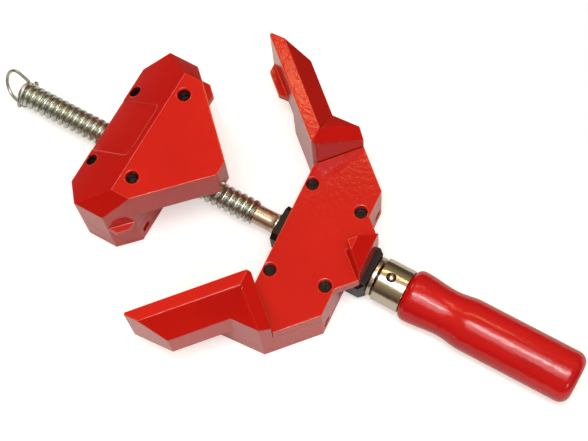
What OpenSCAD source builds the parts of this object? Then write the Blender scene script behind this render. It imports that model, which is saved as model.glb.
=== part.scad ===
// Corner clamp: a fixed V jaw, a wedge-shaped moving jaw on a screw spindle and a turned wooden handle.
// Millimetres, +Z up. The origin is the inner corner of the fixed jaw's V, on the base plane.
// +X runs along the V's axis towards the handle, +Y towards the second arm.

/* [Pose at rest] */
// Swivel of the spindle about the vertical pivot, seen from above
rest_swivel = -4.07; // [-5.5:0.01:5.5]
// Distance from the pivot back to the point of the moving wedge, along the spindle
rest_opening = 70.14; // [40:0.01:100]

/* [Jaw heights] */
// Top of both jaws
jaw_height = 65; // [58:0.5:80]
// Hub plate that a workpiece lies on
plate_height = 36; // [34:0.5:40]
// Top of the fixed jaw's lower body, which carries the hub cover, and underside of its arms
parting_height = 27; // [26.8:0.1:29]
// Top of the small rests on the working faces
rest_height = 31.5; // [30:0.1:34]
// Centre of the spindle
spindle_height = 17; // [16.5:0.1:17.4]

/* [Fixed jaw] */
// Reach of an arm along X and along Y
arm_reach = 85.5; // [75:0.5:110]
// Thickness of an arm square to its working face
arm_thickness = 17.2; // [14:0.1:22]
// Flat strip along the top of an arm
strip_width = 6.7; // [4:0.1:10]
// Height of the lower edge of the slopes behind the strip
slope_foot_height = 49.5; // [45:0.5:56]
// Front edge of the hub, forward of the pivot
hub_front = 37; // [33:0.5:42]
// Distance from the hub's axis to its flat flanks
flank_half_width = 61.5; // [58:0.5:68]
// Sum of X and Y along the shoulders behind the flanks
shoulder_sum = 40; // [36:0.5:44]
// Run along X of the step wall between hub plate and arm
step_run = 20; // [14:0.5:24]
// Gap between the hub cover and the step walls
cover_gap = 0.4; // [0.3:0.1:1.5]
// Cut corners at both ends of an arm's working edge
corner_cut = 1.8; // [0.5:0.1:3]
// Rear face of the lower body
hub_rear = 2.3; // [1:0.1:5]
// Rear tip of the plate's eave over the swivel bearing
eave_rear = 12; // [9:0.1:13]
// Half width of the eave's rear tip
eave_half_width = 12.3; // [9:0.1:14]
// Distance from the hub's axis to the top of the shoulder slope
shoulder_top_half_width = 47; // [44:0.5:50]
// Fall of the rear slope of the arms per millimetre of X
rear_slope = 0.97; // [0.8:0.01:1.1]
// Start of the rear slope, forward of the pivot
rear_slope_start = 37.5; // [36:0.5:42]

/* [Corner prow] */
// Length of the prow that stands on the plate at the inner corner
prow_length = 12; // [8:0.1:13]
// Top of the prow
prow_height = 55.5; // [46:0.5:60]
// Flat part of the prow's top before it slopes down
prow_flat = 4; // [2:0.1:6]
// Width of the sloping skirt round the prow's foot
skirt_width = 1.2; // [0.5:0.1:2]
// Height of that skirt
skirt_height = 2.4; // [1:0.1:4]

/* [Rests on the working faces] */
// How far a rest stands out of its working face
rest_depth = 4; // [2:0.1:5]
// Thickness of a rest
rest_thickness = 4.5; // [3:0.1:4.5]
// Distance along the arm from the V's corner to the near end of its rest
arm_rest_start = 95; // [88:0.5:98]
// Length of the arm's rest at its root
arm_rest_length = 22.6; // [16:0.1:24]
// Distance along the wedge face from its point to the near end of its rest
wedge_rest_start = 54.8; // [54.8:0.1:57]
// Length of the wedge's rest at its root
wedge_rest_length = 14.6; // [11:0.1:14.8]

/* [Screws] */
// Bore that takes a screw head
head_bore_d = 6.7; // [6.5:0.1:8]
// Screw head
head_d = 6.3; // [5.5:0.1:6.4]
// Height of a screw head
head_height = 3; // [2:0.1:3.2]
// Depth of the hub screws' heads below the plate
hub_sink = 4.6; // [3:0.1:5]
// Depth of the moving jaw's screw heads below the surface around them
jaw_sink = 9; // [4:0.1:11]
// Chamfer at the rim of a head bore
rim_chamfer = 0.6; // [0.2:0.1:0.8]
// Screw shank
shank_d = 4; // [3:0.1:4.2]
// Clearance hole for a shank
shank_bore_d = 4.6; // [4.5:0.1:5]
// Width across flats of the hexagon socket
socket_flats = 3; // [2:0.1:3.5]
// Depth of the hexagon socket
socket_depth = 1.8; // [1:0.1:1.9]
// Lower end of the shanks that reach into a base plate
shank_foot = 1.5; // [1:0.1:3]
// Lower end of the shorter front hub screws
front_shank_foot = 9.5; // [8:0.1:14]
// Front hub screws, forward of the pivot
front_screw_x = 33; // [30:0.1:33]
// Front hub screws, distance from the hub's axis
front_screw_y = 26.3; // [24:0.1:30]
// Rear hub screws, forward of the pivot
rear_screw_x = 2.8; // [2.5:0.1:5]
// Rear hub screws, distance from the hub's axis
rear_screw_y = 22.4; // [22:0.1:24]
// Top jaw screws, back from the wedge's point
top_screw_x = 42.3; // [42.2:0.1:44]
// Top jaw screws, distance from the jaw's axis
top_screw_y = 26.3; // [24:0.1:28]
// Back jaw screws, back from the wedge's point
back_screw_x = 74; // [72:0.1:74.5]
// Back jaw screws, distance from the jaw's axis
back_screw_y = 22.5; // [20:0.1:26]

/* [Base plates and blind holes] */
// Thickness of the cover plates under both jaws
base_thickness = 4.5; // [3:0.1:4.8]
// Front edge of the fixed jaw's cover plate, forward of the pivot
base_front = 9; // [8:0.1:12]
// Blind hole in the rear faces and in the moving jaw's front faces
blind_d = 6.4; // [5:0.1:7]
// Depth of a blind hole
blind_depth = 12; // [8:0.5:14]
// Distance of a blind hole from the jaw's axis
blind_y = 33; // [31:0.1:33.5]
// Height of a blind hole
blind_height = 8.5; // [8.4:0.1:10]

/* [Swivel bearing] */
// Front face of the bearing, forward of the pivot
bearing_front = 42.5; // [38:0.5:43]
// Rear face of the bearing, behind the pivot
bearing_rear = 15.6; // [14:0.1:15.8]
// Width of the bearing's front body
bearing_width = 20.7; // [18:0.1:21]
// Width of the bearing's rear head
bearing_head_width = 26; // [22:0.1:27]
// Front of the rear head, forward of the pivot
bearing_head_front = 8; // [6:0.1:10]
// Underside of the bearing
bearing_bottom = 8; // [7.8:0.1:9]
// Top of the bearing
bearing_top = 26.5; // [25.5:0.1:26.5]
// Chamfer along the bearing's edges
bearing_chamfer = 3; // [1:0.1:3.5]
// Half width of the channel that the bearing swings in
channel_half_width = 17; // [16.5:0.1:18]
// Floor of that channel
channel_floor = 7.5; // [7:0.1:7.6]
// Steel swivel pins above and below the spindle
swivel_pin_d = 10; // [6:0.1:12]
// Top of the upper swivel pin
upper_pin_top = 33; // [30:0.1:34]
// Depth that a swivel pin sits in the bearing
pin_seat = 2.6; // [2:0.1:2.8]
// Lower end of the lower swivel pin
lower_pin_bottom = 1; // [0.8:0.1:3]

/* [Spindle] */
// Major diameter of the thread
thread_d = 14; // [12:0.1:14.5]
// Free end of the thread, back from the pivot
thread_free_end = 209.2; // [205:0.1:212]
// Bearing end of the thread, back from the pivot
thread_end = 57; // [54:0.1:59]
// Smooth neck and journal
neck_d = 11; // [9:0.1:11.4]
// Collar on the spindle in front of the bearing
collar_d = 12.8; // [12.2:0.1:13.8]
// Thickness of that collar
collar_length = 1.2; // [0.8:0.1:2]
// Length of the flare from the neck up to the collar
flare_length = 3.6; // [2:0.1:5]
// Chamfer at the free end
end_chamfer = 1.2; // [0.5:0.1:2]
// Tang inside the handle
tang_d = 9; // [6:0.1:9.6]
// End of the tang, behind the pivot
tang_end = 96; // [70:0.5:110]
// Shoulder between the washer and the ferrule
shoulder_d = 17; // [13:0.1:20]
// Cross hole for the loop at the free end
loop_hole_d = 2.6; // [2.5:0.1:4]
// Cross hole, back from the pivot
loop_hole_x = 206; // [203:0.1:206.4]

/* [Washer and ferrule] */
// Thrust washer behind the bearing
washer_d = 22.2; // [20:0.1:24]
// Thickness of the thrust washer
washer_thickness = 2.4; // [1.5:0.1:2.6]
// Gap between washer and ferrule
shoulder_length = 1.2; // [0.8:0.1:2]
// Outside of the ferrule
ferrule_d = 24.4; // [22:0.1:26]
// Length of the ferrule
ferrule_length = 15.9; // [12:0.1:18]
// Wall of the ferrule
ferrule_wall = 1.2; // [0.8:0.1:2]
// Pin through ferrule, handle and tang
handle_pin_d = 5; // [3:0.1:5.5]
// Centre of the pin, behind the ferrule's front
handle_pin_x = 6.3; // [4:0.1:9]
// Height of the pin's domed ends above the ferrule
handle_pin_dome = 0.7; // [0.3:0.1:1.2]

/* [Handle] */
// Length of the handle behind the ferrule
handle_length = 100.2; // [85:0.5:120]
// Greatest diameter
handle_d = 29; // [26:0.1:32]
// Diameter at the waist
waist_d = 26; // [23:0.1:28]
// Waist, behind the ferrule's rear edge
waist_x = 24; // [20:0.1:28]
// End of the waist, behind the ferrule's rear edge
waist_end = 38; // [34:0.1:46]
// Rounding of the handle's front edge
handle_front_round = 4.5; // [2:0.1:6]
// Rounding of the handle's rear edge
handle_rear_round = 6; // [3:0.1:10]

/* [Loop at the free end] */
// Wire of the loop
wire_d = 1.8; // [1.5:0.1:2]
// Distance of the wire's centre from the axis where it lies round the shaft
loop_wrap = 9; // [8.6:0.1:9.4]
// Radius of the wire's tight bends
loop_bend = 1.8; // [1.5:0.1:2]
// Straight length of the loop's legs beyond the wraps
loop_leg = 6.6; // [4:0.1:10]
// Place of the upper leg round the shaft, from straight up
loop_roll = 22; // [5:1:35]
// Sideways swing of the bow about its upper and lower ends
loop_swing = 16; // [0:1:25]

/* [Moving jaw] */
// Half width of the flat at the wedge's point
point_flat = 4.4; // [2:0.1:6]
// Half width of the moving jaw
jaw_half_width = 49.4; // [46:0.1:54]
// Rear end of the flat flank, back from the wedge's point
jaw_flank_end = 67; // [60:0.1:70]
// Back face, back from the wedge's point
jaw_back = 78.5; // [77.5:0.1:84]
// Half width of the back face
jaw_back_half_width = 37.3; // [34:0.1:40]
// Rear edge of the flat top, back from the wedge's point
top_rear = 48.1; // [46:0.1:52]
// Height of the back slope at the back face
back_slope_foot = 38.3; // [34:0.1:44]
// Half width of the flat top
top_half_width = 37.3; // [34:0.1:40]
// Height of the side slopes at the flanks
side_slope_foot = 48.4; // [44:0.1:54]
// Underside of the wedge
wedge_underside = 40; // [38:0.1:44]
// Front face of the lower block, back from the wedge's point
block_front = 38.6; // [36:0.1:38.8]
// Parting plane of the moving jaw
jaw_parting = 18.5; // [18:0.1:20]
// Half width of the spindle's passage
passage_half_width = 9.5; // [9:0.1:11]
// Half height of the spindle's passage
passage_half_height = 7.8; // [7.4:0.1:8]
// Width of the arched notch under the wedge's point
notch_width = 4.4; // [2:0.1:5]
// Height of the arched notch
notch_height = 8.6; // [5:0.1:12]
// Depth of the arched notch
notch_depth = 7; // [3:0.1:10]
// Offset of the arched notch from the jaw's axis
notch_offset = -1.4; // [-1.6:0.1:1.6]
// Half width of the plain panel on the back slope
panel_half_width = 16.3; // [10:0.1:18]
// Start of the panel below the slope's upper edge
panel_start = 5.2; // [3:0.1:7]
// Depth of the panel
panel_depth = 0.5; // [0.3:0.1:1]
// Radius of the panel's upper corners
panel_corner = 4; // [2:0.1:6]

/* [Spindle nut] */
// Round nut that turns in the moving jaw
nut_d = 26; // [24:0.1:28]
// Centre of the nut, back from the wedge's point
nut_x = 58.5; // [57:0.1:60]
// Underside of the nut
nut_bottom = 5; // [4.9:0.1:6]
// Top of the nut
nut_top = 28; // [26:0.1:29]

/* [Fits] */
// Radial clearance of turning and sliding fits
running_gap = 0.05; // [0.02:0.01:0.1]
// Radial clearance of fixed fits
seat_gap = 0.03; // [0.02:0.01:0.05]
// Face clearance between pieces that turn past each other
face_gap = 0.3; // [0.2:0.05:0.5]

/* [Hidden] */
$fn = 64;
big = 300;
root_2 = sqrt(2);
hex_sides = 6;
arm_sum = arm_thickness * root_2;
arm_slope = (jaw_height - slope_foot_height) / (arm_thickness - strip_width);
shoulder_slope = (jaw_height - slope_foot_height) / (flank_half_width - shoulder_top_half_width);
step_sum = 2 * hub_front;
eave_sum = eave_rear + eave_half_width;
back_slope = (jaw_height - back_slope_foot) / (jaw_back - top_rear);
side_slope = (jaw_height - side_slope_foot) / (jaw_half_width - top_half_width);
back_angle = atan(back_slope);
back_screw_surface = jaw_height - back_slope * (back_screw_x + head_bore_d / 2 - top_rear);
collar_rear = bearing_front + face_gap;
washer_front = bearing_rear + face_gap;
shoulder_front = washer_front + washer_thickness;
ferrule_front = shoulder_front + shoulder_length;
ferrule_rear = ferrule_front + ferrule_length;
handle_end = ferrule_rear + handle_length;
plug_d = ferrule_d - 2 * ferrule_wall - 2 * seat_gap;
plug_front = ferrule_front + ferrule_wall + seat_gap;
flare_steps = 6;
quarter_turn = 90;
half_turn = 180;
exit_reach = sqrt(loop_wrap * loop_wrap - 2 * loop_wrap * loop_bend);
wrap_start = atan(loop_bend / exit_reach);
bow_radius = norm([loop_wrap, loop_bend]);
bow_tilt = atan(loop_bend / loop_wrap);
bow_shift = loop_bend * sin(loop_swing);
leg_start = loop_bend * cos(loop_swing);
red = [0.8, 0.09, 0.07];
steel = [0.75, 0.74, 0.7];
dark = [0.1, 0.1, 0.11];
brass = [0.72, 0.58, 0.3];

// Everything above a plane through the point at, falling by slope towards the heading
module above(at, heading, slope) {
    translate(at)
        rotate([0, 0, heading])
            rotate([0, atan(slope), 0])
                translate([-big, -big, 0])
                    cube([2 * big, 2 * big, big]);
}

// Cylinder along X between two stations
module bar(x0, x1, d) {
    translate([x0, 0, 0])
        rotate([0, 90, 0])
            cylinder(d = d, h = x1 - x0);
}

// Both halves of a mirror-symmetric feature
module pair() {
    children();
    mirror([0, 1, 0])
        children();
}

// Frame of the spindle: X along its axis, at its height above the base
module on_spindle() {
    rotate([0, 0, rest_swivel])
        translate([0, 0, spindle_height])
            children();
}

// Frame of the moving jaw: the wedge's point on the base plane
module on_jaw() {
    rotate([0, 0, rest_swivel])
        translate([-rest_opening, 0, 0])
            children();
}

// Head bore and clearance hole of one vertical screw
module screw_hole(surface, sink, foot) {
    translate([0, 0, surface - sink - head_height])
        cylinder(d = head_bore_d, h = big);
    translate([0, 0, foot - face_gap])
        cylinder(d = shank_bore_d, h = big);
}

// Chamfer of a head bore at a level surface
module bore_rim(surface) {
    translate([0, 0, surface - rim_chamfer])
        cylinder(d1 = head_bore_d, d2 = head_bore_d + 4 * rim_chamfer, h = 2 * rim_chamfer);
}

// One vertical screw with a hexagon socket
module screw(surface, sink, foot) {
    top = surface - sink;
    difference() {
        union() {
            translate([0, 0, top - head_height])
                cylinder(d = head_d, h = head_height);
            translate([0, 0, foot])
                cylinder(d = shank_d, h = top - head_height - foot);
        }
        translate([0, 0, top - socket_depth])
            cylinder(d = socket_flats / cos(30), h = socket_depth + 1, $fn = hex_sides);
    }
}

module front_screw_places() {
    pair()
        translate([-front_screw_x, front_screw_y, 0])
            children();
}

module rear_screw_places() {
    pair()
        translate([-rear_screw_x, rear_screw_y, 0])
            children();
}

module hub_screw_holes() {
    front_screw_places()
        screw_hole(plate_height, hub_sink, front_shank_foot);
    rear_screw_places()
        screw_hole(plate_height, hub_sink, shank_foot);
}

module top_screw_places() {
    pair()
        translate([-top_screw_x, top_screw_y, 0])
            children();
}

module back_screw_places() {
    pair()
        translate([-back_screw_x, back_screw_y, 0])
            children();
}

// Small rest with slanted ends on a face that runs out along 135 degrees
module face_rest(start, length, side) {
    rotate([0, 0, 135])
        translate([start, 0, rest_height - rest_thickness])
            linear_extrude(rest_thickness)
                polygon([
                    [0, 0],
                    [rest_depth, side * rest_depth],
                    [length - rest_depth, side * rest_depth],
                    [length, 0],
                    [length, -side],
                    [0, -side]
                ]);
}

module arm_bar() {
    step_cross = (arm_sum - step_sum) / 2;
    cut = corner_cut / root_2;
    difference() {
        translate([0, 0, parting_height])
            linear_extrude(jaw_height - parting_height)
                polygon([
                    [cut - hub_front, hub_front + cut],
                    [-hub_front - cut, hub_front + cut],
                    [cut - arm_reach, arm_reach - cut],
                    [corner_cut - arm_reach, arm_reach],
                    [arm_sum - arm_reach, arm_reach],
                    [step_cross, arm_sum - step_cross]
                ]);
        above([strip_width / root_2, strip_width / root_2, jaw_height], 45, arm_slope);
        above([-rear_slope_start, 0, jaw_height], 0, rear_slope);
    }
}

module arm_shoulder() {
    cut = corner_cut / root_2;
    difference() {
        translate([0, 0, parting_height])
            linear_extrude(jaw_height - parting_height)
                polygon([
                    [cut - hub_front, hub_front + cut],
                    [arm_sum - flank_half_width, flank_half_width],
                    [shoulder_sum - flank_half_width, flank_half_width],
                    [step_run - hub_front, hub_front + step_run]
                ]);
        above([0, shoulder_top_half_width, jaw_height], 90, shoulder_slope);
        above([-rear_slope_start, 0, jaw_height], 0, rear_slope);
    }
}

module hub_plate() {
    gap = cover_gap / root_2;
    translate([0, 0, parting_height])
        linear_extrude(plate_height - parting_height)
            polygon([
                [-hub_front, 2 * gap - hub_front],
                [step_run - hub_front + gap, gap - hub_front - step_run],
                [hub_rear, hub_rear - shoulder_sum],
                [hub_rear, hub_rear - eave_sum],
                [eave_rear, -eave_half_width],
                [eave_rear, eave_half_width],
                [hub_rear, eave_sum - hub_rear],
                [hub_rear, shoulder_sum - hub_rear],
                [step_run - hub_front + gap, hub_front + step_run - gap],
                [-hub_front, hub_front - 2 * gap]
            ]);
}

module prow() {
    difference() {
        translate([0, 0, parting_height])
            linear_extrude(prow_height - parting_height)
                polygon([[0, 0], [prow_length, -prow_length], [prow_length, prow_length]]);
        above([prow_flat, 0, prow_height], 0, 1);
    }
}

// Sloping skirt round the foot of the prow
module prow_skirt() {
    top = plate_height + skirt_height;
    rear = prow_length - skirt_width;
    half = prow_length + skirt_width / 2;
    difference() {
        translate([0, 0, parting_height])
            linear_extrude(top - parting_height)
                polygon([
                    [-skirt_width * root_2, 0],
                    [rear, -half],
                    [prow_length, -prow_length],
                    [prow_length, prow_length],
                    [rear, half]
                ]);
        above([0, 0, top], 135, skirt_height / skirt_width);
        above([0, 0, top], -135, skirt_height / skirt_width);
    }
}

module fixed_jaw_body() {
    color(red)
        difference() {
            union() {
                linear_extrude(parting_height)
                    polygon([
                        [-hub_front, -hub_front],
                        [-flank_half_width, -flank_half_width],
                        [shoulder_sum - flank_half_width, -flank_half_width],
                        [hub_rear, hub_rear - shoulder_sum],
                        [hub_rear, shoulder_sum - hub_rear],
                        [shoulder_sum - flank_half_width, flank_half_width],
                        [-flank_half_width, flank_half_width],
                        [-hub_front, hub_front]
                    ]);
                pair() {
                    arm_bar();
                    arm_shoulder();
                    face_rest(arm_rest_start, arm_rest_length, 1);
                }
            }
            translate([-big / 2, -channel_half_width, channel_floor])
                cube([big, 2 * channel_half_width, big]);
            translate([0, 0, -1])
                linear_extrude(base_thickness + 1)
                    polygon([
                        [-base_front - seat_gap, -big / 2],
                        [big / 2, -big / 2],
                        [big / 2, big / 2],
                        [-base_front - seat_gap, big / 2]
                    ]);
            hub_screw_holes();
            cylinder(d = swivel_pin_d + 2 * running_gap, h = big);
            pair()
                translate([hub_rear - blind_depth, blind_y, blind_height])
                    bar(0, big, blind_d);
        }
}

module hub_cover() {
    color(red)
        difference() {
            union() {
                hub_plate();
                prow();
                prow_skirt();
            }
            hub_screw_holes();
            front_screw_places()
                bore_rim(plate_height);
            rear_screw_places()
                bore_rim(plate_height);
            cylinder(d = swivel_pin_d + 2 * running_gap, h = upper_pin_top + face_gap);
        }
}

module base_outline() {
    polygon([
        [-base_front, -shoulder_sum - base_front],
        [hub_rear, hub_rear - shoulder_sum],
        [hub_rear, shoulder_sum - hub_rear],
        [-base_front, shoulder_sum + base_front]
    ]);
}

module fixed_jaw_base() {
    color(red)
        difference() {
            linear_extrude(base_thickness)
                base_outline();
            rear_screw_places()
                screw_hole(plate_height, hub_sink, shank_foot);
            translate([0, 0, lower_pin_bottom - face_gap])
                cylinder(d = swivel_pin_d + 2 * running_gap, h = big);
        }
}

module front_hub_screws() {
    color(dark)
        front_screw_places()
            screw(plate_height, hub_sink, front_shank_foot);
}

module rear_hub_screws() {
    color(dark)
        rear_screw_places()
            screw(plate_height, hub_sink, shank_foot);
}

// Front body and rear head of the bearing, with chamfered long edges
module bearing_body(x0, x1, width) {
    low = bearing_bottom - spindle_height;
    high = bearing_top - spindle_height;
    half = width / 2;
    translate([x0, 0, 0])
        rotate([90, 0, 90])
            linear_extrude(x1 - x0)
                polygon([
                    [-half, low],
                    [half, low],
                    [half, high - bearing_chamfer],
                    [half - bearing_chamfer, high],
                    [bearing_chamfer - half, high],
                    [-half, high - bearing_chamfer]
                ]);
}

// Plan of the bearing's rear head with cut rear corners
module bearing_head_plan() {
    half = bearing_head_width / 2;
    polygon([
        [-bearing_head_front, -half],
        [bearing_rear - bearing_chamfer, -half],
        [bearing_rear, bearing_chamfer - half],
        [bearing_rear, half - bearing_chamfer],
        [bearing_rear - bearing_chamfer, half],
        [-bearing_head_front, half]
    ]);
}

module swivel_bearing() {
    color(dark)
        on_spindle()
            difference() {
                union() {
                    bearing_body(-bearing_front, 0, bearing_width);
                    intersection() {
                        bearing_body(-bearing_head_front, bearing_rear, bearing_head_width);
                        translate([0, 0, -big / 2])
                            linear_extrude(big)
                                bearing_head_plan();
                    }
                }
                bar(-big / 2, big / 2, neck_d + 2 * running_gap);
                translate([0, 0, bearing_top - spindle_height - pin_seat])
                    cylinder(d = swivel_pin_d + 2 * seat_gap, h = big);
                translate([0, 0, bearing_bottom - spindle_height + pin_seat - big])
                    cylinder(d = swivel_pin_d + 2 * seat_gap, h = big);
            }
}

module upper_swivel_pin() {
    foot = bearing_top - pin_seat;
    color(steel)
        translate([0, 0, foot])
            cylinder(d = swivel_pin_d, h = upper_pin_top - foot);
}

module lower_swivel_pin() {
    color(steel)
        translate([0, 0, lower_pin_bottom])
            cylinder(d = swivel_pin_d, h = bearing_bottom + pin_seat - lower_pin_bottom);
}

// Half outline of the spindle, turned about its axis
module spindle_outline() {
    neck = neck_d / 2;
    rise = collar_d / 2 - neck;
    collar_front = collar_rear + collar_length;
    polygon(concat(
        [[0, -thread_free_end],
         [thread_d / 2 - end_chamfer, -thread_free_end],
         [thread_d / 2, end_chamfer - thread_free_end],
         [thread_d / 2, -thread_end - end_chamfer],
         [neck, -thread_end]],
        [for (i = [0:flare_steps])
            [neck + rise * (1 - cos(90 * i / flare_steps)),
             -collar_front - flare_length * (1 - sin(90 * i / flare_steps))]],
        [[collar_d / 2, -collar_rear],
         [neck, -collar_rear],
         [neck, shoulder_front],
         [shoulder_d / 2, shoulder_front],
         [shoulder_d / 2, ferrule_front],
         [tang_d / 2, ferrule_front],
         [tang_d / 2, tang_end],
         [0, tang_end]]
    ));
}

module spindle() {
    color(steel)
        on_spindle()
            difference() {
                rotate([0, 90, 0])
                    rotate_extrude()
                        spindle_outline();
                translate([-loop_hole_x, 0, 0])
                    rotate([90, 0, 0])
                        cylinder(d = loop_hole_d, h = big, center = true);
                translate([ferrule_front + handle_pin_x, 0, 0])
                    cylinder(d = handle_pin_d + 2 * seat_gap, h = big, center = true);
            }
}

module thrust_washer() {
    color(steel)
        on_spindle()
            difference() {
                bar(washer_front, shoulder_front, washer_d);
                bar(washer_front - 1, shoulder_front + 1, neck_d + 2 * seat_gap);
            }
}

module ferrule() {
    color(steel)
        on_spindle()
            difference() {
                bar(ferrule_front, ferrule_rear, ferrule_d);
                bar(ferrule_front + ferrule_wall, ferrule_rear + 1, ferrule_d - 2 * ferrule_wall);
                bar(ferrule_front - 1, ferrule_rear, tang_d + 2 * seat_gap);
                translate([ferrule_front + handle_pin_x, 0, 0])
                    cylinder(d = handle_pin_d + 2 * seat_gap, h = big, center = true);
            }
}

module handle_pin() {
    crown = ferrule_d / 2 + handle_pin_dome;
    crown_small = handle_pin_d / 4;
    color(steel)
        on_spindle()
            translate([ferrule_front + handle_pin_x, 0, 0])
                rotate_extrude()
                    polygon([
                        [0, -crown],
                        [crown_small, -crown],
                        [handle_pin_d / 2, -ferrule_d / 2],
                        [handle_pin_d / 2, ferrule_d / 2],
                        [crown_small, crown],
                        [0, crown]
                    ]);
}

// Half outline of the handle, turned about its axis
module handle_outline() {
    body = handle_d / 2;
    waist = waist_d / 2;
    front = ferrule_rear + handle_front_round;
    dip = ferrule_rear + waist_x;
    rise = ferrule_rear + waist_end;
    reach = dip - front;
    sweep = rise - dip;
    drop = body - waist;
    steps = 12;
    round_steps = 8;
    polygon(concat(
        [[tang_d / 2 + seat_gap, plug_front],
         [plug_d / 2, plug_front],
         [plug_d / 2, ferrule_rear + seat_gap]],
        [for (i = [0:round_steps])
            [body - handle_front_round + handle_front_round * sin(90 * i / round_steps),
             front + seat_gap - handle_front_round * cos(90 * i / round_steps)]],
        [for (i = [1:steps])
            [waist + drop * (1 + cos(180 * i / steps)) / 2, front + reach * i / steps]],
        [for (i = [1:steps])
            [waist + drop * (1 - cos(180 * i / steps)) / 2, dip + sweep * i / steps]],
        [for (i = [0:round_steps])
            [body - handle_rear_round + handle_rear_round * cos(90 * i / round_steps),
             handle_end - handle_rear_round + handle_rear_round * sin(90 * i / round_steps)]],
        [[0, handle_end], [0, tang_end + face_gap], [tang_d / 2 + seat_gap, tang_end + face_gap]]
    ));
}

module handle() {
    color(red)
        on_spindle()
            difference() {
                rotate([0, 90, 0])
                    rotate_extrude()
                        handle_outline();
                translate([ferrule_front + handle_pin_x, 0, 0])
                    cylinder(d = handle_pin_d + 2 * seat_gap, h = big, center = true);
            }
}

// Arc of wire about Z, from a heading and over an angle
module wire_arc(radius, heading, sweep) {
    rotate([0, 0, heading])
        rotate_extrude(angle = sweep)
            translate([radius, 0])
                circle(d = wire_d);
}

// Arc of wire with a knot, hardly thicker than the wire, at each end
module wire_bend(radius, heading, sweep) {
    wire_arc(radius, heading, sweep);
    for (end = [heading, heading + sweep])
        rotate([0, 0, end])
            translate([radius, 0, 0])
                sphere(d = wire_d + seat_gap);
}

// Bend out of the cross hole and the wire's wrap round the shaft
module wire_wrap() {
    bend = quarter_turn + wrap_start;
    rotate([0, quarter_turn, 0]) {
        translate([-loop_bend, -exit_reach, 0])
            wire_bend(loop_bend, -bend, bend);
        wire_arc(loop_wrap, half_turn - loop_roll, quarter_turn + loop_roll - wrap_start);
    }
}

// Bend off the shaft and straight leg, on the upper side (1) or the lower side (-1)
module wire_leg(side) {
    bend = quarter_turn - side * loop_swing;
    translate([-loop_bend, 0, side * loop_wrap])
        wire_bend(loop_bend, min(0, side * bend), bend);
    rotate([0, 0, -loop_swing])
        translate([-leg_start, side * loop_bend - bow_shift, side * loop_wrap])
            bar(-loop_leg, 0, wire_d);
}

// Wire through the cross hole: one leg goes over the shaft and one under it, and a bow joins them
module end_loop() {
    color(steel)
        on_spindle()
            translate([-loop_hole_x, 0, 0])
                union() {
                    rotate([quarter_turn, 0, 0])
                        cylinder(d = wire_d, h = 2 * exit_reach, center = true);
                    wire_wrap();
                    rotate([half_turn, 0, 0])
                        wire_wrap();
                    rotate([-loop_roll, 0, 0]) {
                        wire_leg(1);
                        wire_leg(-1);
                        rotate([0, 0, -loop_swing])
                            translate([-leg_start - loop_leg, -bow_shift, 0])
                                rotate([quarter_turn - bow_tilt, 0, 0])
                                    wire_bend(bow_radius, quarter_turn, half_turn);
                    }
                }
}

module spindle_nut() {
    color(brass)
        on_jaw()
            difference() {
                translate([-nut_x, 0, nut_bottom])
                    cylinder(d = nut_d, h = nut_top - nut_bottom);
                translate([0, 0, spindle_height])
                    bar(-big / 2, big / 2, thread_d + 2 * running_gap);
            }
}

// Plan of the moving jaw
module jaw_plan() {
    polygon([
        [-point_flat, -point_flat],
        [-jaw_half_width, -jaw_half_width],
        [-jaw_flank_end, -jaw_half_width],
        [-jaw_back, -jaw_back_half_width],
        [-jaw_back, jaw_back_half_width],
        [-jaw_flank_end, jaw_half_width],
        [-jaw_half_width, jaw_half_width],
        [-point_flat, point_flat]
    ]);
}

// Lower block of the moving jaw between two heights
module jaw_block(z0, z1) {
    translate([0, 0, z0])
        linear_extrude(z1 - z0)
            intersection() {
                jaw_plan();
                translate([-big - block_front, -big / 2])
                    square([big, big]);
            }
}

module passage() {
    translate([-big / 2, -passage_half_width, spindle_height - passage_half_height])
        cube([big, 2 * passage_half_width, 2 * passage_half_height]);
}

module nut_pocket() {
    translate([-nut_x, 0, base_thickness])
        cylinder(d = nut_d + 2 * running_gap, h = nut_top + face_gap - base_thickness);
}

// Shallow panel with rounded upper corners that runs off the foot of the slope
module panel_plate() {
    inner = panel_half_width - panel_corner;
    union() {
        translate([0, -inner, -panel_depth])
            cube([big, 2 * inner, big]);
        translate([panel_corner, -panel_half_width, -panel_depth])
            cube([big, 2 * panel_half_width, big]);
        pair()
            translate([panel_corner, inner, -panel_depth])
                cylinder(r = panel_corner, h = big);
    }
}

module moving_jaw_upper() {
    arch_z = wedge_underside + notch_height - notch_width / 2;
    color(red)
        on_jaw()
            difference() {
                union() {
                    difference() {
                        translate([0, 0, jaw_parting])
                            linear_extrude(jaw_height - jaw_parting)
                                jaw_plan();
                        translate([-block_front, -big / 2, -1])
                            cube([big, big, wedge_underside + 1]);
                        above([-top_rear, 0, jaw_height], 180, back_slope);
                        above([0, top_half_width, jaw_height], 90, side_slope);
                        above([0, -top_half_width, jaw_height], -90, side_slope);
                    }
                    pair()
                        face_rest(wedge_rest_start, wedge_rest_length, -1);
                }
                passage();
                nut_pocket();
                top_screw_places() {
                    screw_hole(jaw_height, jaw_sink, shank_foot);
                    bore_rim(jaw_height);
                }
                back_screw_places()
                    screw_hole(back_screw_surface, jaw_sink, shank_foot);
                translate([-top_rear, 0, jaw_height])
                    rotate([0, 0, 180])
                        rotate([0, back_angle, 0])
                            translate([panel_start, 0, 0])
                                panel_plate();
                translate([-point_flat - notch_depth, notch_offset - notch_width / 2, 0])
                    cube([big, notch_width, arch_z]);
                translate([0, notch_offset, arch_z])
                    bar(-point_flat - notch_depth, big, notch_width);
            }
}

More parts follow.
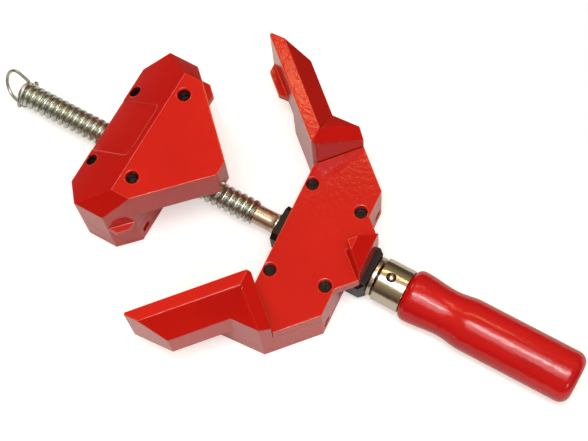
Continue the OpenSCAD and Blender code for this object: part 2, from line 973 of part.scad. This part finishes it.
module moving_jaw_lower() {
    color(red)
        on_jaw()
            difference() {
                jaw_block(base_thickness, jaw_parting);
                passage();
                nut_pocket();
                top_screw_places()
                    screw_hole(jaw_height, jaw_sink, shank_foot);
                back_screw_places()
                    screw_hole(back_screw_surface, jaw_sink, shank_foot);
                pair()
                    translate([-block_front - blind_depth, blind_y, blind_height])
                        bar(0, big, blind_d);
            }
}

module moving_jaw_base() {
    color(red)
        on_jaw()
            difference() {
                jaw_block(0, base_thickness);
                top_screw_places()
                    screw_hole(jaw_height, jaw_sink, shank_foot);
                back_screw_places()
                    screw_hole(back_screw_surface, jaw_sink, shank_foot);
            }
}

module top_screws() {
    color(dark)
        on_jaw()
            top_screw_places()
                screw(jaw_height, jaw_sink, shank_foot);
}

module back_screws() {
    color(dark)
        on_jaw()
            back_screw_places()
                screw(back_screw_surface, jaw_sink, shank_foot);
}

fixed_jaw_body();
hub_cover();
fixed_jaw_base();
front_hub_screws();
rear_hub_screws();
swivel_bearing();
upper_swivel_pin();
lower_swivel_pin();
spindle();
thrust_washer();
ferrule();
handle_pin();
handle();
end_loop();
spindle_nut();
moving_jaw_upper();
moving_jaw_lower();
moving_jaw_base();
top_screws();
back_screws();
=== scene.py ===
import math

import bmesh
import bpy
from mathutils import Matrix, Vector


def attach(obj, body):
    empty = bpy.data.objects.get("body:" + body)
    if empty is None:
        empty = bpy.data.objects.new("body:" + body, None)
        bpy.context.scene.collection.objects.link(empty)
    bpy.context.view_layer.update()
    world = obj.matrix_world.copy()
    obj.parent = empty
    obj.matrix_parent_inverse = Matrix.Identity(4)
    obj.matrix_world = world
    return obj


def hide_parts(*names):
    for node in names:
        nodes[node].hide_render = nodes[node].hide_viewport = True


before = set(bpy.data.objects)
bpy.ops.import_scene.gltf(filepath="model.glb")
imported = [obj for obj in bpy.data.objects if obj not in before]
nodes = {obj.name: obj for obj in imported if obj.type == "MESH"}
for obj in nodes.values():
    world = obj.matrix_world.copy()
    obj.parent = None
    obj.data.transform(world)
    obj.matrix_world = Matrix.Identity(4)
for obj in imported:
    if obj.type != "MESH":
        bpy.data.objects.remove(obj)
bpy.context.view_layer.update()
scene = bpy.context.scene
MM = 0.001

# The spindle line in millimetres; stations count along the spindle from the swivel's axis
SWIVEL = math.radians(-4.07)
AXIS_Z = 17.0
THREAD_D = 14.0
ROOT_D = 11.6
PITCH = 4.0
FREE_END = -209.2
THREAD_END = -57.0
END_CHAMFER = 1.2
NECK_D = 11.0
COLLAR_D = 12.8
COLLAR_FRONT = -44.0
COLLAR_REAR = -42.8
COLLAR_EDGE = 0.2
FLARE = 3.6
SHOULDER_FRONT = 18.3
SHOULDER_D = 17.0
SHOULDER_SLACK = 0.1
FERRULE_FRONT = 19.5
FERRULE_REAR = 35.4
FERRULE_D = 24.4
TANG_D = 9.0
TANG_END = 96.0
PIN_X = 25.8
PIN_D = 5.0
PIN_DOME = 0.7
DOME_SINK = 0.1
GROOVE_WIDTH = 0.7
GROOVE_DEPTH = 1.4
GROOVE_SHADE = 0.3
SPIGOT_D = 21.8
SPIGOT_LENGTH = 3.0
TANG_GAP = 0.1
FERRULE_SEAM = 0.03
HANDLE_END = 135.6
HANDLE_D = 29.0
HANDLE_FRONT_ROUND = 4.5
HANDLE_END_ROUND = 6.0
WAIST_D = 26.0
WAIST_PLACE = 24.0
WAIST_END = 38.0


# Meshes
def link(obj):
    scene.collection.objects.link(obj)
    return obj


def new_mesh(name, verts, faces, smooth_angle=None):
    """A mesh from points in metres; with an angle in degrees, only sharper edges show."""
    mesh = bpy.data.meshes.new(name)
    mesh.from_pydata([tuple(v) for v in verts], [], faces)
    mesh.update()
    if smooth_angle is not None:
        for poly in mesh.polygons:
            poly.use_smooth = True
        mesh.set_sharp_from_angle(angle=math.radians(smooth_angle))
    return link(bpy.data.objects.new(name, mesh))


def spindle_point(a, y, z):
    """A point in the spindle's frame, in millimetres, as metres in the row's frame."""
    c, s = math.cos(SWIVEL), math.sin(SWIVEL)
    return Vector(((a * c - y * s) * MM, (a * s + y * c) * MM, (AXIS_Z + z) * MM))


SPINDLE_AXIS = spindle_point(1 / MM, 0, -AXIS_Z)


def along_spindle(station, radius, t):
    return spindle_point(station, radius * math.cos(t), radius * math.sin(t))


def across_spindle(station, radius, t):
    """Stations here are heights on the handle pin's axis."""
    return spindle_point(PIN_X + radius * math.cos(t), radius * math.sin(t), station)


def lathe(name, profile, sides, smooth_angle, place=along_spindle):
    """Turns a list of (station, radius) about an axis; a radius of 0 closes an end."""
    verts, faces, rings = [], [], []
    for a, r in profile:
        if r <= 0:
            rings.append([len(verts)])
            verts.append(place(a, 0, 0))
            continue
        ring = []
        for k in range(sides):
            ring.append(len(verts))
            verts.append(place(a, r, 2 * math.pi * k / sides))
        rings.append(ring)
    for first, second in zip(rings, rings[1:]):
        for k in range(sides):
            j = (k + 1) % sides
            if len(first) == 1:
                faces.append((first[0], second[k], second[j]))
            elif len(second) == 1:
                faces.append((first[k], second[0], first[j]))
            else:
                faces.append((first[k], second[k], second[j], first[j]))
    return new_mesh(name, verts, faces, smooth_angle)


def arc(a0, r0, radius, start, stop, steps=8):
    """Points of a quarter round about (a0, r0); angles in degrees from the spindle's axis."""
    points = []
    for k in range(steps + 1):
        t = math.radians(start + (stop - start) * k / steps)
        points.append((a0 + radius * math.cos(t), r0 + radius * math.sin(t)))
    return points


def wave(a0, r0, a1, r1, steps=22):
    """Points after (a0, r0) of a smooth change of radius that ends at (a1, r1)."""
    points = []
    for k in range(1, steps + 1):
        rest = (1 + math.cos(math.pi * k / steps)) / 2
        points.append((a0 + (a1 - a0) * k / steps, r1 + (r0 - r1) * rest))
    return points


# Materials
def shader_of(mat):
    return mat.node_tree.nodes["Principled BSDF"]


def principled(name, color, roughness, metallic=0.0, specular=0.5):
    mat = bpy.data.materials.new(name)
    mat.use_nodes = True
    bsdf = shader_of(mat)
    bsdf.inputs["Base Color"].default_value = (*color, 1)
    bsdf.inputs["Roughness"].default_value = roughness
    bsdf.inputs["Metallic"].default_value = metallic
    bsdf.inputs["Specular IOR Level"].default_value = specular
    return mat


def node_of(owner, kind, **values):
    """A new node in the tree of a material or a world."""
    node = owner.node_tree.nodes.new(kind)
    for key, value in values.items():
        setattr(node, key, value)
    return node


def noise(mat, scale, detail, roughness=0.55, stretch=None):
    """Noise in metres of the row's frame; a stretch runs along and across the spindle."""
    links = mat.node_tree.links
    place = node_of(mat, "ShaderNodeTexCoord").outputs["Object"]
    if stretch:
        mapping = node_of(mat, "ShaderNodeMapping")
        mapping.inputs["Scale"].default_value = stretch
        mapping.inputs["Rotation"].default_value = (0, 0, -SWIVEL)
        links.new(place, mapping.inputs["Vector"])
        place = mapping.outputs["Vector"]
    texture = node_of(mat, "ShaderNodeTexNoise")
    texture.inputs["Scale"].default_value = scale
    texture.inputs["Detail"].default_value = detail
    texture.inputs["Roughness"].default_value = roughness
    links.new(place, texture.inputs["Vector"])
    return texture.outputs["Fac"]


def ramp(owner, source, stops):
    node = node_of(owner, "ShaderNodeValToRGB")
    elements = node.color_ramp.elements
    while len(elements) < len(stops):
        elements.new(0.5)
    for element, (place, color) in zip(elements, stops):
        element.position = place
        element.color = (*color, 1)
    owner.node_tree.links.new(source, node.inputs["Fac"])
    return node.outputs["Color"]


def map_range(mat, source, low, high, to_low=0.0, to_high=1.0):
    node = node_of(mat, "ShaderNodeMapRange")
    node.inputs["From Min"].default_value = low
    node.inputs["From Max"].default_value = high
    node.inputs["To Min"].default_value = to_low
    node.inputs["To Max"].default_value = to_high
    mat.node_tree.links.new(source, node.inputs["Value"])
    return node.outputs["Result"]


# Sockets of a colour mix, several of which share a name
MIX_SHARE, MIX_FIRST, MIX_SECOND, MIX_RESULT = 0, 6, 7, 2


def mixed(mat, share, first, color):
    """A colour that goes over to another one by a share from 0 to 1."""
    node = node_of(mat, "ShaderNodeMix", data_type="RGBA")
    node.inputs[MIX_SECOND].default_value = (*color, 1)
    mat.node_tree.links.new(share, node.inputs[MIX_SHARE])
    mat.node_tree.links.new(first, node.inputs[MIX_FIRST])
    return node.outputs[MIX_RESULT]


def to_color(mat, source):
    mat.node_tree.links.new(source, shader_of(mat).inputs["Base Color"])


def to_roughness(mat, source, low, high):
    wavering = map_range(mat, source, 0.0, 1.0, low, high)
    mat.node_tree.links.new(wavering, shader_of(mat).inputs["Roughness"])


def to_bump(mat, source, strength, distance):
    """Fine relief of a surface."""
    node = node_of(mat, "ShaderNodeBump")
    node.inputs["Strength"].default_value = strength
    node.inputs["Distance"].default_value = distance
    mat.node_tree.links.new(source, node.inputs["Height"])
    mat.node_tree.links.new(node.outputs["Normal"], shader_of(mat).inputs["Normal"])
    return node


def round_edges(mat, bump, radius):
    """Edges that shade as if rounded, by a radius in millimetres."""
    bevel = node_of(mat, "ShaderNodeBevel", samples=8)
    bevel.inputs["Radius"].default_value = radius * MM
    mat.node_tree.links.new(bevel.outputs["Normal"], bump.inputs["Normal"])
    return bevel.outputs["Normal"]


def face_normal(mat):
    """The normal of a face without its relief, and how far that normal points up."""
    normal = node_of(mat, "ShaderNodeNewGeometry").outputs["True Normal"]
    upward = node_of(mat, "ShaderNodeSeparateXYZ")
    mat.node_tree.links.new(normal, upward.inputs["Vector"])
    return normal, upward.outputs["Z"]


def smoother_flanks(mat, bump, upright, level):
    """Relief that is stronger on level faces than on upright ones."""
    upward = face_normal(mat)[1]
    strength = map_range(mat, upward, 0.2, 0.95, to_low=upright, to_high=level)
    mat.node_tree.links.new(strength, bump.inputs["Strength"])


def painted_edge_highlights(mat, paint, rounded_normal, color):
    """Painted highlight: lighter orange paint along the rounded edges of level faces."""
    links = mat.node_tree.links
    normal, upward = face_normal(mat)
    dot = node_of(mat, "ShaderNodeVectorMath", operation="DOT_PRODUCT")
    links.new(rounded_normal, dot.inputs[0])
    links.new(normal, dot.inputs[1])
    near_edge = map_range(mat, dot.outputs["Value"], 0.985, 0.88)
    level = map_range(mat, upward, 0.8, 0.98, to_low=0.1)
    share = node_of(mat, "ShaderNodeMath", operation="MULTIPLY")
    links.new(near_edge, share.inputs[0])
    links.new(level, share.inputs[1])
    return mixed(mat, share.outputs["Value"], paint, color)


def painted_recess_shade(mat, paint, color):
    """Painted shade: narrow holes, closed in by the walls around them, are darkened."""
    hollow = node_of(mat, "ShaderNodeAmbientOcclusion", samples=8, only_local=True)
    hollow.inputs["Distance"].default_value = 12 * MM
    return mixed(mat, map_range(mat, hollow.outputs["AO"], 0.42, 0.18), paint, color)


def grained(name, color, roughness, scale, detail=3.0, metallic=1.0, specular=0.5, stretch=None):
    """A surface whose roughness wavers between two values in a fine grain."""
    mat = principled(name, color, sum(roughness) / 2, metallic, specular)
    to_roughness(mat, noise(mat, scale, detail, stretch=stretch), *roughness)
    return mat


def red_paint():
    mat = principled("red_paint", (0.61, 0.008, 0.005), 0.15, specular=0.42)
    paint = ramp(mat, noise(mat, 22.0, 3.0), [
        (0.3, (0.57, 0.007, 0.005)), (0.7, (0.65, 0.010, 0.005))])
    peel = noise(mat, 430.0, 2.0)
    to_roughness(mat, peel, 0.09, 0.16)
    bump = to_bump(mat, peel, strength=0.3, distance=0.0003)
    smoother_flanks(mat, bump, upright=0.06, level=0.3)
    rounded_normal = round_edges(mat, bump, 0.9)
    # Painted highlight: lighter orange along the edges of level faces
    with_edge_highlights = painted_edge_highlights(mat, paint, rounded_normal, (0.9, 0.16, 0.06))
    # Painted shade: dark red in narrow holes such as the screw bores
    to_color(mat, painted_recess_shade(mat, with_edge_highlights, (0.05, 0.003, 0.003)))
    return mat


def plated_steel():
    mat = grained("plated_steel", (0.62, 0.6, 0.54), (0.2, 0.34), 300.0)
    to_color(mat, ramp(mat, noise(mat, 160.0, 4.0), [
        (0.28, (0.48, 0.49, 0.38)), (0.46, (0.68, 0.76, 0.7)),
        (0.62, (0.58, 0.7, 0.71)), (0.8, (0.56, 0.6, 0.5))]))
    return mat


def black_plastic():
    mat = principled("black_plastic", (0.007, 0.007, 0.007), 0.34, specular=0.3)
    grain = noise(mat, 700.0, 3.0)
    to_roughness(mat, grain, 0.28, 0.42)
    round_edges(mat, to_bump(mat, grain, strength=0.08, distance=0.0002), 0.8)
    return mat


def lacquered_wood():
    mat = principled("lacquered_wood", (0.58, 0.006, 0.008), 0.09, specular=0.45)
    fibre = noise(mat, 90.0, 6.0, 0.6, stretch=(0.12, 1, 1))
    to_color(mat, ramp(mat, fibre, [
        (0.3, (0.5, 0.005, 0.008)), (0.5, (0.58, 0.007, 0.009)), (0.72, (0.66, 0.012, 0.010))]))
    film = noise(mat, 420.0, 4.0, 0.6, stretch=(0.7, 1, 1))
    to_bump(mat, film, strength=0.3, distance=0.0006)
    return mat


RED = red_paint()
STEEL = plated_steel()
# Painted shade: a darker steel for the thread's valleys
SHADED_VALLEY_STEEL = grained("shaded_valley_steel", (0.27, 0.28, 0.21), (0.32, 0.5), 400.0)
TURNED = grained("turned_steel", (0.68, 0.63, 0.53), (0.22, 0.36), 500.0, stretch=(6, 1, 1))
WIRE = grained("steel_wire", (0.56, 0.57, 0.53), (0.24, 0.4), 500.0)
NICKEL = grained("nickel_plate", (0.66, 0.61, 0.5), (0.14, 0.26), 500.0, stretch=(1, 6, 6))
BLACK = black_plastic()
# Black steel for the screws, also used as painted shade on the spindle's shoulder and in the handle
# pin's groove
BLACK_STEEL_AND_SHADE = grained("black_steel", (0.022, 0.008, 0.007), (0.15, 0.26), 900.0,
               detail=2.0, metallic=0.0, specular=0.3)
BRASS = grained("brass", (0.62, 0.44, 0.16), (0.22, 0.4), 600.0)
WOOD = lacquered_wood()

LOOKS = {
    "fixed_jaw_body": RED, "hub_cover": RED, "fixed_jaw_base": RED,
    "moving_jaw_upper": RED, "moving_jaw_lower": RED, "moving_jaw_base": RED,
    "front_hub_screws": BLACK_STEEL_AND_SHADE, "rear_hub_screws": BLACK_STEEL_AND_SHADE, "top_screws": BLACK_STEEL_AND_SHADE, "back_screws": BLACK_STEEL_AND_SHADE,
    "swivel_bearing": BLACK, "upper_swivel_pin": STEEL, "lower_swivel_pin": STEEL,
    "spindle": STEEL, "thrust_washer": STEEL, "ferrule": NICKEL, "handle_pin": NICKEL,
    "handle": WOOD, "end_loop": WIRE, "spindle_nut": BRASS,
}
for name, look in LOOKS.items():
    slots = nodes[name].material_slots
    if not slots:
        nodes[name].data.materials.append(look)
    for slot in slots:
        slot.material = look


# Finer shapes for the nodes of the spindle line
def put(piece, look, node):
    """A piece that turns with the spindle and stands for a node."""
    piece.data.materials.append(look)
    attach(piece, "screw")
    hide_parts(node)
    return piece


def reach(face, edge):
    """How far a face goes from one of its edges."""
    foot = edge.verts[0].co
    along = (edge.verts[1].co - foot).normalized()
    far = 0.0
    for vert in face.verts:
        away = vert.co - foot
        far = max(far, (away - along * away.dot(along)).length)
    return far


# Points this near, in metres, are one, and faces this near to one plane are one face
WELD = 0.000002
FLAT = math.radians(0.6)
# Edges sharper than this are rounded, by at most this share of the faces beside them
SHARP = math.radians(20)
ROUND_SHARE = 0.3


def rounded(name, width, look):
    """A node with its edges rounded, each by no more than the faces beside it allow."""
    mesh = nodes[name].data.copy()
    mesh.name = name + "_rounded"
    work = bmesh.new()
    work.from_mesh(mesh)
    bmesh.ops.remove_doubles(work, verts=work.verts[:], dist=WELD)
    bmesh.ops.dissolve_limit(work, angle_limit=FLAT, verts=work.verts[:], edges=work.edges[:])
    weight = work.edges.layers.float.new("bevel_weight_edge")
    for edge in work.edges:
        if len(edge.link_faces) != 2 or edge.calc_face_angle(0.0) < SHARP:
            continue
        room = min(reach(face, edge) for face in edge.link_faces)
        edge[weight] = min(1.0, ROUND_SHARE * room / (width * MM))
    for face in work.faces:
        face.smooth = True
        face.material_index = 0
    work.to_mesh(mesh)
    work.free()
    mesh.materials.clear()
    piece = link(bpy.data.objects.new(name + "_rounded", mesh))
    bevel = piece.modifiers.new("round", "BEVEL")
    bevel.width = width * MM
    bevel.segments = 3
    bevel.limit_method = "WEIGHT"
    bevel.use_clamp_overlap = False
    bevel.loop_slide = False
    normals = piece.modifiers.new("normals", "WEIGHTED_NORMAL")
    normals.weight = 100
    return put(piece, look, name)


rounded("thrust_washer", 0.5, TURNED)
rounded("ferrule", 0.5, NICKEL)


def thread_limit(a):
    """Greatest radius of the thread at a station, with the chamfers at both ends."""
    crest, neck = THREAD_D / 2, NECK_D / 2
    at_end = crest - END_CHAMFER + (a - FREE_END)
    at_neck = neck + (crest - neck) * (THREAD_END - a) / END_CHAMFER
    return min(crest, at_end, max(at_neck, neck))


def threaded_rod():
    """Helical thread with rounded crests and valleys in a darker steel as painted shade, cut flat
    at both ends.
    """
    sides = 40
    root, crest = ROOT_D / 2, THREAD_D / 2
    # Offsets from the middle of a valley to the middle of a crest, with the radius there
    flank = [(0.0, root), (0.5, root), (0.75, root + 0.3),
             (1.05, crest - 0.35), (1.3, crest - 0.08), (1.6, crest)]
    ridge = flank + [(PITCH - offset, radius) for offset, radius in reversed(flank[1:])]
    turns = int((THREAD_END - FREE_END) / PITCH) + 2
    lines = []
    for turn in range(-1, turns):
        for offset, radius in ridge:
            lines.append((turn * PITCH + offset, radius))
    verts, faces, valleys = [], [], []
    for start, radius in lines:
        for k in range(sides + 1):
            part = k / sides
            a = min(max(FREE_END + start + PITCH * part, FREE_END), THREAD_END)
            verts.append(along_spindle(a, min(radius, thread_limit(a)), -2 * math.pi * part))
    row = sides + 1
    for i in range(len(lines) - 1):
        for k in range(sides):
            p = i * row + k
            faces.append((p, p + row, p + row + 1, p + 1))
            valleys.append(1 if lines[i][1] == lines[i + 1][1] == root else 0)
    thread_mesh = new_mesh("spindle_thread", verts, faces, smooth_angle=60)
    rod = put(thread_mesh, STEEL, "spindle")
    # Painted shade: the valleys take the darker steel
    rod.data.materials.append(SHADED_VALLEY_STEEL)
    rod.data.polygons.foreach_set("material_index", valleys)


threaded_rod()


def shaft_profile():
    """Core under the thread, neck with a flared collar, shoulder and tang."""
    neck, collar = NECK_D / 2, COLLAR_D / 2
    shoulder, tang = SHOULDER_D / 2, TANG_D / 2
    points = [(FREE_END, 0), (FREE_END, neck), (THREAD_END, neck)]
    steps = 10
    for k in range(steps + 1):
        t = math.pi / 2 * k / steps
        points.append((COLLAR_FRONT - FLARE * (1 - math.sin(t)),
                       neck + (collar - neck) * (1 - math.cos(t))))
    points += [(COLLAR_REAR - COLLAR_EDGE, collar), (COLLAR_REAR, collar - COLLAR_EDGE)]
    points += [(COLLAR_REAR, neck), (SHOULDER_FRONT, neck)]
    points += [(SHOULDER_FRONT, shoulder), (FERRULE_FRONT, shoulder)]
    points += [(FERRULE_FRONT, tang), (TANG_END, tang), (TANG_END, 0)]
    return points


# Painted shade: the shoulder, in the gap between washer and ferrule, takes the black steel so that
# the gap looks dark
shaft_mesh = lathe("spindle_shaft", shaft_profile(), sides=72, smooth_angle=40)
shaft = put(shaft_mesh, TURNED, "spindle")
shaft.data.materials.append(BLACK_STEEL_AND_SHADE)
for poly in shaft.data.polygons:
    station = poly.center.dot(SPINDLE_AXIS) / MM
    poly.material_index = 1 if SHOULDER_FRONT < station < FERRULE_FRONT + SHOULDER_SLACK else 0


def pin_profile():
    """Pin with a polished dome at each end, standing in a narrow groove."""
    top = FERRULE_D / 2
    outer, dome = PIN_D / 2, PIN_D / 2 - GROOVE_WIDTH
    steps = 10
    half = []
    for k in range(steps + 1):
        t = math.pi / 2 * k / steps
        half.append((top - DOME_SINK + (PIN_DOME + DOME_SINK) * math.cos(t), dome * math.sin(t)))
    half += [(top - GROOVE_DEPTH, dome), (top - GROOVE_DEPTH, outer)]
    return half + [(-height, radius) for height, radius in reversed(half)]


# Painted shade: the pin takes the black steel where it lies down in its groove
pin_mesh = lathe("handle_pin_domed", pin_profile(), sides=40, smooth_angle=40, place=across_spindle)
pin = put(pin_mesh, NICKEL, "handle_pin")
pin.data.materials.append(BLACK_STEEL_AND_SHADE)
for poly in pin.data.polygons:
    height = abs(poly.center.z / MM - AXIS_Z)
    poly.material_index = 1 if height < FERRULE_D / 2 - GROOVE_SHADE else 0


def handle_profile():
    """Spigot in the ferrule, rounded front, waist, straight grip and rounded end."""
    body, waist, spigot = HANDLE_D / 2, WAIST_D / 2, SPIGOT_D / 2
    front = FERRULE_REAR + HANDLE_FRONT_ROUND
    dip = FERRULE_REAR + WAIST_PLACE
    rise = FERRULE_REAR + WAIST_END
    spigot_front = FERRULE_REAR - SPIGOT_LENGTH
    points = [(spigot_front, TANG_D / 2 + TANG_GAP), (spigot_front, spigot)]
    points.append((FERRULE_REAR + FERRULE_SEAM, spigot))
    points += arc(front, body - HANDLE_FRONT_ROUND, HANDLE_FRONT_ROUND, 180, 90)
    points += wave(front, body, dip, waist)
    points += wave(dip, waist, rise, body)
    end = HANDLE_END - HANDLE_END_ROUND
    points += arc(end, body - HANDLE_END_ROUND, HANDLE_END_ROUND, 90, 0, steps=10)
    points.append((HANDLE_END, 0))
    return points


handle_mesh = lathe("handle_turned", handle_profile(), sides=96, smooth_angle=50)
put(handle_mesh, WOOD, "handle")

# Camera at the photograph's viewing angle
AZ, EL, ROLL = math.radians(33.379), math.radians(70.872), math.radians(-8.41)
EYE = Vector((111.3, -215.6, 792.5)) * MM
FOCAL_PX = 1513.915
PHOTO_WIDTH_PX = 588
SENSOR = 36.0


def camera_pose():
    back = Vector((math.sin(AZ) * math.cos(EL), -math.cos(AZ) * math.cos(EL), math.sin(EL)))
    right = (-back).cross(Vector((0, 0, 1))).normalized()
    up = right.cross(-back)
    turned_right = math.cos(ROLL) * right + math.sin(ROLL) * up
    turned_up = -math.sin(ROLL) * right + math.cos(ROLL) * up
    pose = Matrix((turned_right, turned_up, back)).transposed().to_4x4()
    pose.translation = EYE
    return pose


camera = bpy.data.cameras.new("camera")
camera.sensor_fit = "HORIZONTAL"
camera.sensor_width = SENSOR
camera.lens = FOCAL_PX * SENSOR / PHOTO_WIDTH_PX
camera.clip_end = 20
eye = link(bpy.data.objects.new("camera", camera))
eye.matrix_world = camera_pose()
scene.camera = eye

# Floor, world and lamps, in metres
FLOOR_CORNERS = [(-0.3, -0.24, 0), (0.24, -0.24, 0), (0.24, 0.12, 0), (-0.3, 0.12, 0)]
FLOOR_GLOW = 0.5
CENTRE = Vector((-0.04, 0, 0.03))


def floor_look():
    """A matt floor that glows for the camera only."""
    mat = principled("floor", (0.74, 0.74, 0.74), 0.9, specular=0.0)
    links = mat.node_tree.links
    path = node_of(mat, "ShaderNodeLightPath")
    glow = node_of(mat, "ShaderNodeMath", operation="MULTIPLY")
    glow.inputs[1].default_value = FLOOR_GLOW
    links.new(path.outputs["Is Camera Ray"], glow.inputs[0])
    shader_of(mat).inputs["Emission Color"].default_value = (1, 1, 1, 1)
    links.new(glow.outputs["Value"], shader_of(mat).inputs["Emission Strength"])
    return mat


floor = new_mesh("floor", FLOOR_CORNERS, [(0, 1, 2, 3)])
floor.data.materials.append(floor_look())


def room_look():
    """A dim warm room, darker low down, white only where the camera looks past the floor."""
    world = bpy.data.worlds.new("world")
    world.use_nodes = True
    links = world.node_tree.links
    room = world.node_tree.nodes["Background"]
    coords = node_of(world, "ShaderNodeTexCoord")
    height = node_of(world, "ShaderNodeSeparateXYZ")
    links.new(coords.outputs["Generated"], height.inputs["Vector"])
    shade = ramp(world, height.outputs["Z"], [
        (0.15, (0.07, 0.055, 0.04)), (0.95, (0.44, 0.34, 0.2))])
    links.new(shade, room.inputs["Color"])
    white = node_of(world, "ShaderNodeBackground")
    white.inputs["Color"].default_value = (1, 1, 1, 1)
    path = node_of(world, "ShaderNodeLightPath")
    mix = node_of(world, "ShaderNodeMixShader")
    links.new(path.outputs["Is Camera Ray"], mix.inputs["Fac"])
    links.new(room.outputs["Background"], mix.inputs[1])
    links.new(white.outputs["Background"], mix.inputs[2])
    links.new(mix.outputs["Shader"], world.node_tree.nodes["World Output"].inputs["Surface"])
    return world


scene.world = room_look()


def lamp(name, place, size, power, color=(1, 1, 1), turn=None):
    """An oblong lamp that faces the clamp's middle, or is turned by angles in degrees."""
    data = bpy.data.lights.new(name, "AREA")
    data.shape = "RECTANGLE"
    data.size, data.size_y = size
    data.energy = power
    data.color = color
    obj = link(bpy.data.objects.new(name, data))
    obj.location = place
    if turn is None:
        obj.rotation_euler = (CENTRE - Vector(place)).to_track_quat("-Z", "Y").to_euler()
    else:
        obj.rotation_euler = [math.radians(angle) for angle in turn]


lamp("soft", (0.2, -0.3, 1.7), (1.2, 1.0), 13)
lamp("key", (0.1, -0.2, 1.6), (0.6, 0.06), 6, turn=(0, 0, 0))
lamp("left", (-1.3, 0.5, 0.8), (0.5, 0.4), 4)
lamp("front", (1.2, -1.1, 0.7), (0.35, 0.35), 2.5)
lamp("strip", (-0.115, 0.625, 1.15), (0.55, 0.08), 1.4, (1.0, 0.62, 0.3), turn=(-25, 0, 35.8))

scene.view_settings.view_transform = "Standard"
